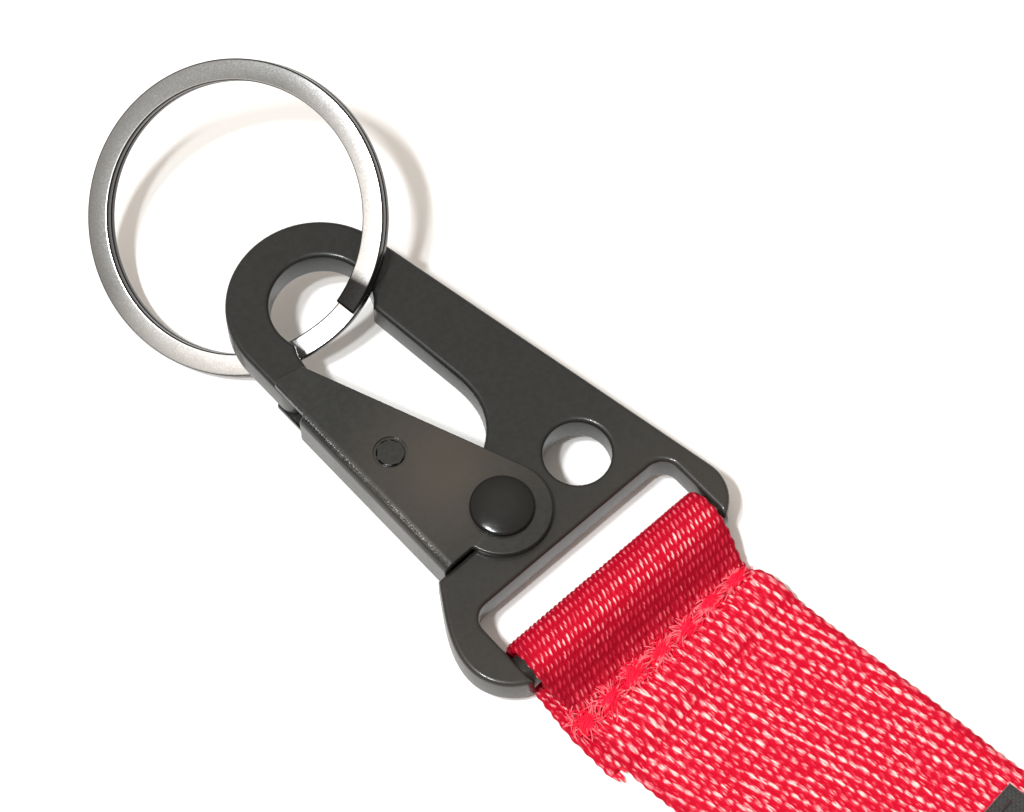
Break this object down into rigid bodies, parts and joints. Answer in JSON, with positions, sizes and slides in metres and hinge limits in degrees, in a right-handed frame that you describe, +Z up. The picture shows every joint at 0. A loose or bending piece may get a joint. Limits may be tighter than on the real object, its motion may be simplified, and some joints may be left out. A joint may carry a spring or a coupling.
{
  "type": "carabiner keyring",
  "caption": "Cast sling hook with a sprung sheet-metal gate, a flat split key ring through its eye, and a sewn webbing strap looped round its end bar.",
  "frame": {"origin": "centre of the hook's tether hole, at the middle of the plate's thickness", "axes": "+Y runs from the strap towards the split ring, +X across the hook towards its spine, +Z up off the table that the ring and strap lie on"},
  "size_m": [0.0409, 0.1887, 0.0201],
  "materials": {
    "cast_black": "satin black coating over a casting",
    "gate_black": "semi-gloss black coating on folded sheet, worn bright along the fold",
    "rivet_black": "glossy black",
    "pin_black": "semi-gloss black",
    "spring_steel": "bare drawn wire",
    "ring_steel": "polished steel, darker at the coil joint",
    "webbing_red": "plain woven polyester webbing",
    "thread_red": "sewing thread",
    "label_black": "close woven label",
    "thread_black": "sewing thread"
  },
  "bodies": {
    "frame": {"hook_frame": "cast_black", "pivot_rivet": "rivet_black"},
    "gate": {"gate_lever": "gate_black", "spring_pin": "pin_black", "gate_spring": "spring_steel"},
    "ring": {"split_ring": "ring_steel"},
    "strap": {"webbing_strap": "webbing_red", "loop_stitching": "thread_red", "strap_label": "label_black", "label_stitching": "thread_black", "hem_stitching": "thread_red"}
  },
  "joints": [
    {"name": "gate_pivot", "type": "hinge", "parent": "frame", "child": "gate", "pos_m": [-0.01, 0.0003, 0.00002], "axis": [0, 0.0829, -0.9966], "range_deg": [0, 22], "stiffness_Nm_per_rad": 0.08, "springref_deg": -28.65, "deforming": ["gate_spring"]},
    {"name": "ring_swing", "type": "hinge", "parent": "frame", "child": "ring", "pos_m": [-0.0082, 0.0431, 0.00584], "axis": [0, -0.972, -0.235], "range_deg": [0, 112]},
    {"name": "strap_swing", "type": "hinge", "parent": "frame", "child": "strap", "pos_m": [-0.0067, -0.01335, -0.00111], "axis": [-1, 0, 0], "range_deg": [-80, 100]}
  ]
}
